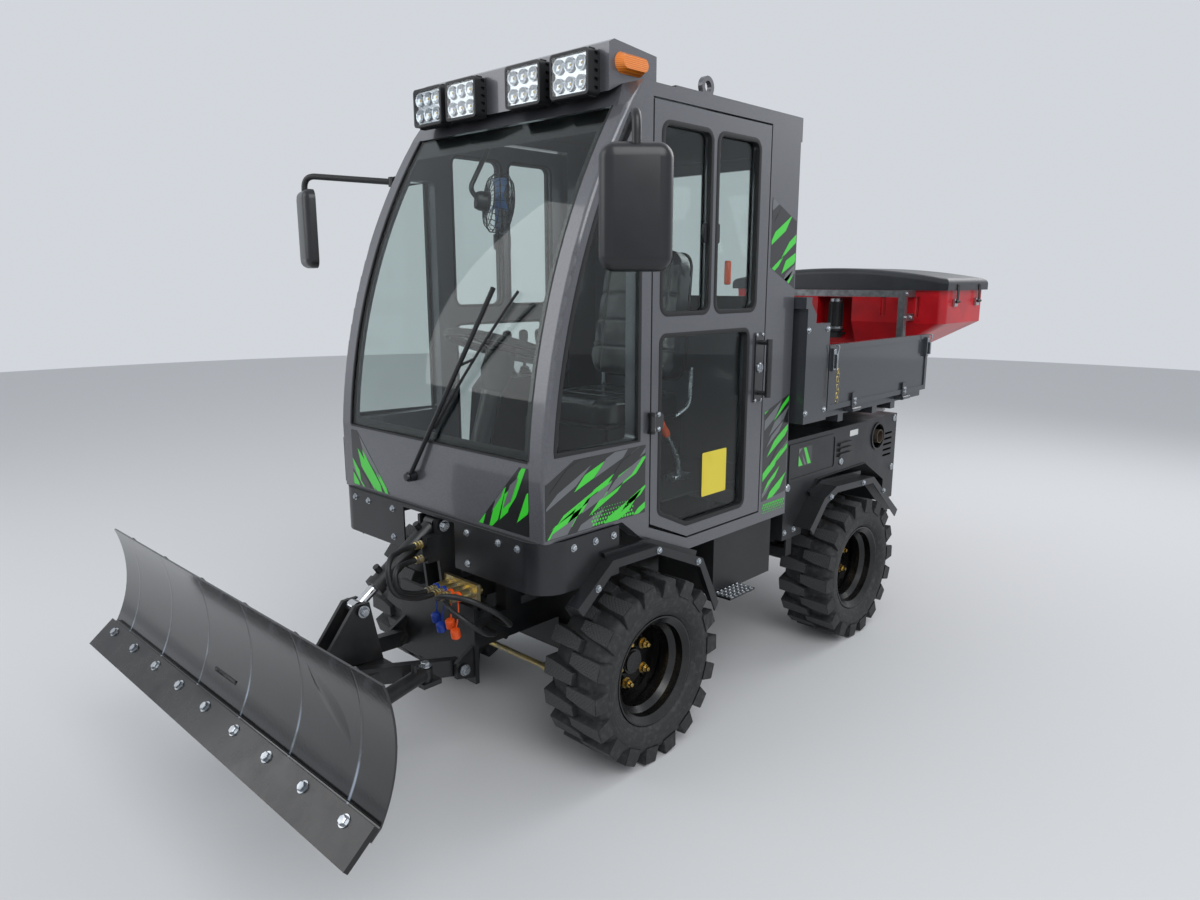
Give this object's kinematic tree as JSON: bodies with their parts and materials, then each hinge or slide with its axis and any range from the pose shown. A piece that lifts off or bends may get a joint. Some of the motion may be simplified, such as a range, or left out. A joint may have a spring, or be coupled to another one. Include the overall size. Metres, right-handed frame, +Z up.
{
  "type": "compact road sweeper carrier with snow blade and spreader",
  "caption": "Compact wheeled municipal carrier with a glazed one-seat cab, a swinging snow blade in front, a tipping bed with drop sides and a hung grit spreader behind.",
  "frame": {"origin": "on the ground, in the middle of the overall length and width", "axes": "+X forward, +Y to the machine's left, +Z up"},
  "size_m": [3.622, 1.8018, 2.0959],
  "materials": {
    "cab_paint": "metallic grey paint",
    "black_steel": "black paint",
    "bed_paint": "dark grey paint",
    "edge_steel": "black paint with bright bolts",
    "engine": "plain block",
    "cylinder_paint": "black paint",
    "chrome_rod": "polished",
    "zinc": "yellow zinc",
    "grey_steel": "light grey paint",
    "stainless": "stainless",
    "hopper_red": "red polyethylene",
    "lid_black": "black polyethylene",
    "black_plastic": "satin black",
    "seat_vinyl": "black vinyl",
    "buffer_rubber": "black",
    "tyre_rubber": "new rubber",
    "clear_glass": "clear safety glass",
    "lamp_glass": "clear lens on a black housing",
    "amber_lens": "amber lens",
    "hose_rubber": "black hose",
    "coupler_steel": "zinc plated"
  },
  "bodies": {
    "chassis": {"chassis_frame": "black_steel", "axles": "black_steel", "engine_block": "engine", "engine_cover": "black_steel", "cab_frame": "cab_paint", "cab_floor": "black_steel", "cab_roof": "cab_paint", "cab_front_panel": "cab_paint", "cab_rear_wall": "cab_paint", "windshield": "clear_glass", "fixed_windows": "clear_glass", "door_hinges": "black_steel", "light_bar": "cab_paint", "work_lamps": "lamp_glass", "marker_lamps": "amber_lens", "mirrors": "black_plastic", "front_bumper": "black_plastic", "fenders": "black_plastic", "side_skirts": "black_steel", "seat": "seat_vinyl", "steering_column": "black_plastic", "lever_console": "black_plastic", "wiper": "black_plastic", "hitch_tower": "black_steel", "tower_hoses": "hose_rubber", "quick_couplers": "coupler_steel"},
    "knuckle_left": {"knuckle_left": "black_steel"},
    "knuckle_right": {"knuckle_right": "black_steel"},
    "tie_rod": {"tie_rod": "zinc"},
    "door_left": {"door_left": "cab_paint", "door_left_glass": "clear_glass"},
    "door_right": {"door_right": "cab_paint", "door_right_glass": "clear_glass"},
    "bed": {"cargo_bed": "bed_paint", "bed_buffers": "buffer_rubber", "spreader_frame": "grey_steel", "hopper": "hopper_red", "spreader_motor": "grey_steel", "spinner_drive": "black_steel"},
    "dropside_left": {"dropside_left": "bed_paint"},
    "dropside_right": {"dropside_right": "bed_paint"},
    "hopper_lid": {"hopper_lid": "lid_black"},
    "spinner": {"spinner": "stainless"},
    "lift_frame": {"lift_frame": "black_steel"},
    "blade": {"blade": "black_steel", "cutting_edge": "edge_steel"},
    "lift_cylinder_barrel": {"lift_cylinder_barrel": "cylinder_paint"},
    "lift_cylinder_rod": {"lift_cylinder_rod": "chrome_rod"},
    "swing_cylinder_barrel": {"swing_cylinder_barrel": "cylinder_paint"},
    "swing_cylinder_rod": {"swing_cylinder_rod": "chrome_rod"},
    "wheel_front_left": {"rim_front_left": "black_steel", "tyre_front_left": "tyre_rubber"},
    "wheel_front_right": {"rim_front_right": "black_steel", "tyre_front_right": "tyre_rubber"},
    "wheel_rear_left": {"rim_rear_left": "black_steel", "tyre_rear_left": "tyre_rubber"},
    "wheel_rear_right": {"rim_rear_right": "black_steel", "tyre_rear_right": "tyre_rubber"}
  },
  "joints": [
    {"name": "steer_left", "type": "hinge", "parent": "chassis", "child": "knuckle_left", "pos_m": [0.641, 0.322, 0.29], "axis": [0, 0, 1], "range_deg": [-25, 25]},
    {"name": "steer_right", "type": "hinge", "parent": "chassis", "child": "knuckle_right", "pos_m": [0.641, -0.322, 0.29], "axis": [0, 0, 1], "range_deg": [-25.5, 25.5]},
    {"name": "tie_rod_slide", "type": "slide", "parent": "chassis", "child": "tie_rod", "axis": [0, 1, 0], "range_m": [-0.09, 0.09]},
    {"name": "roll_front_left", "type": "hinge", "parent": "knuckle_left", "child": "wheel_front_left", "pos_m": [0.641, 0.463, 0.29], "axis": [0, 1, 0], "continuous": true},
    {"name": "roll_front_right", "type": "hinge", "parent": "knuckle_right", "child": "wheel_front_right", "pos_m": [0.641, -0.463, 0.29], "axis": [0, 1, 0], "continuous": true},
    {"name": "roll_rear_left", "type": "hinge", "parent": "chassis", "child": "wheel_rear_left", "pos_m": [-0.659, 0.463, 0.29], "axis": [0, 1, 0], "continuous": true},
    {"name": "roll_rear_right", "type": "hinge", "parent": "chassis", "child": "wheel_rear_right", "pos_m": [-0.659, -0.463, 0.29], "axis": [0, 1, 0], "continuous": true},
    {"name": "door_left_hinge", "type": "hinge", "parent": "chassis", "child": "door_left", "pos_m": [0.628, 0.514, 1.3], "axis": [0, 0, -1], "range_deg": [0, 80]},
    {"name": "door_right_hinge", "type": "hinge", "parent": "chassis", "child": "door_right", "pos_m": [0.628, -0.514, 1.3], "axis": [0, 0, 1], "range_deg": [0, 80]},
    {"name": "bed_tip", "type": "hinge", "parent": "chassis", "child": "bed", "pos_m": [-1.131, 0, 0.905], "axis": [0, -1, 0], "range_deg": [0, 40]},
    {"name": "dropside_left_hinge", "type": "hinge", "parent": "bed", "child": "dropside_left", "pos_m": [-0.549, 0.557, 0.966], "axis": [-1, 0, 0], "range_deg": [0, 170]},
    {"name": "dropside_right_hinge", "type": "hinge", "parent": "bed", "child": "dropside_right", "pos_m": [-0.549, -0.557, 0.966], "axis": [1, 0, 0], "range_deg": [0, 170]},
    {"name": "lid_hinge", "type": "hinge", "parent": "bed", "child": "hopper_lid", "pos_m": [-1.57, -0.582, 1.422], "axis": [1, 0, 0], "range_deg": [0, 95]},
    {"name": "spinner_turn", "type": "hinge", "parent": "bed", "child": "spinner", "pos_m": [-1.57, 0, 0.8], "axis": [0, 0, 1], "continuous": true},
    {"name": "blade_lift", "type": "hinge", "parent": "chassis", "child": "lift_frame", "pos_m": [1.089, 0, 0.33], "axis": [0, -1, 0], "range_deg": [-27.5, 6]},
    {"name": "blade_swing", "type": "hinge", "parent": "lift_frame", "child": "blade", "pos_m": [1.593, 0, 0.42], "axis": [0, 0, 1], "range_deg": [-20, 20]},
    {"name": "lift_barrel_turn", "type": "hinge", "parent": "chassis", "child": "lift_cylinder_barrel", "pos_m": [1.045, 0, 0.736], "axis": [0, -1, 0], "range_deg": [-8.68, 2.68]},
    {"name": "lift_rod_slide", "type": "slide", "parent": "lift_cylinder_barrel", "child": "lift_cylinder_rod", "axis": [0.822, 0, -0.5695], "range_m": [-0.032, 0.143]},
    {"name": "swing_barrel_turn", "type": "hinge", "parent": "lift_frame", "child": "swing_cylinder_barrel", "pos_m": [1.241, 0.21, 0.384], "axis": [0, 0, 1], "range_deg": [-7.81, 7.81]},
    {"name": "swing_rod_slide", "type": "slide", "parent": "swing_cylinder_barrel", "child": "swing_cylinder_rod", "axis": [0.9597, 0.2809, 0], "range_m": [-0.1054, 0.1054]}
  ],
  "couplings": [
    {"joint": "steer_right", "follows": "steer_left", "ratio": 1},
    {"joint": "tie_rod_slide", "follows": "steer_left", "m_per_rad": 0.19},
    {"joint": "lift_barrel_turn", "follows": "blade_lift", "ratio": 0.27921},
    {"joint": "lift_rod_slide", "follows": "blade_lift", "m_per_rad": -0.29587},
    {"joint": "swing_barrel_turn", "follows": "blade_swing", "ratio": 0.34042},
    {"joint": "swing_rod_slide", "follows": "blade_swing", "m_per_rad": -0.29921}
  ]
}
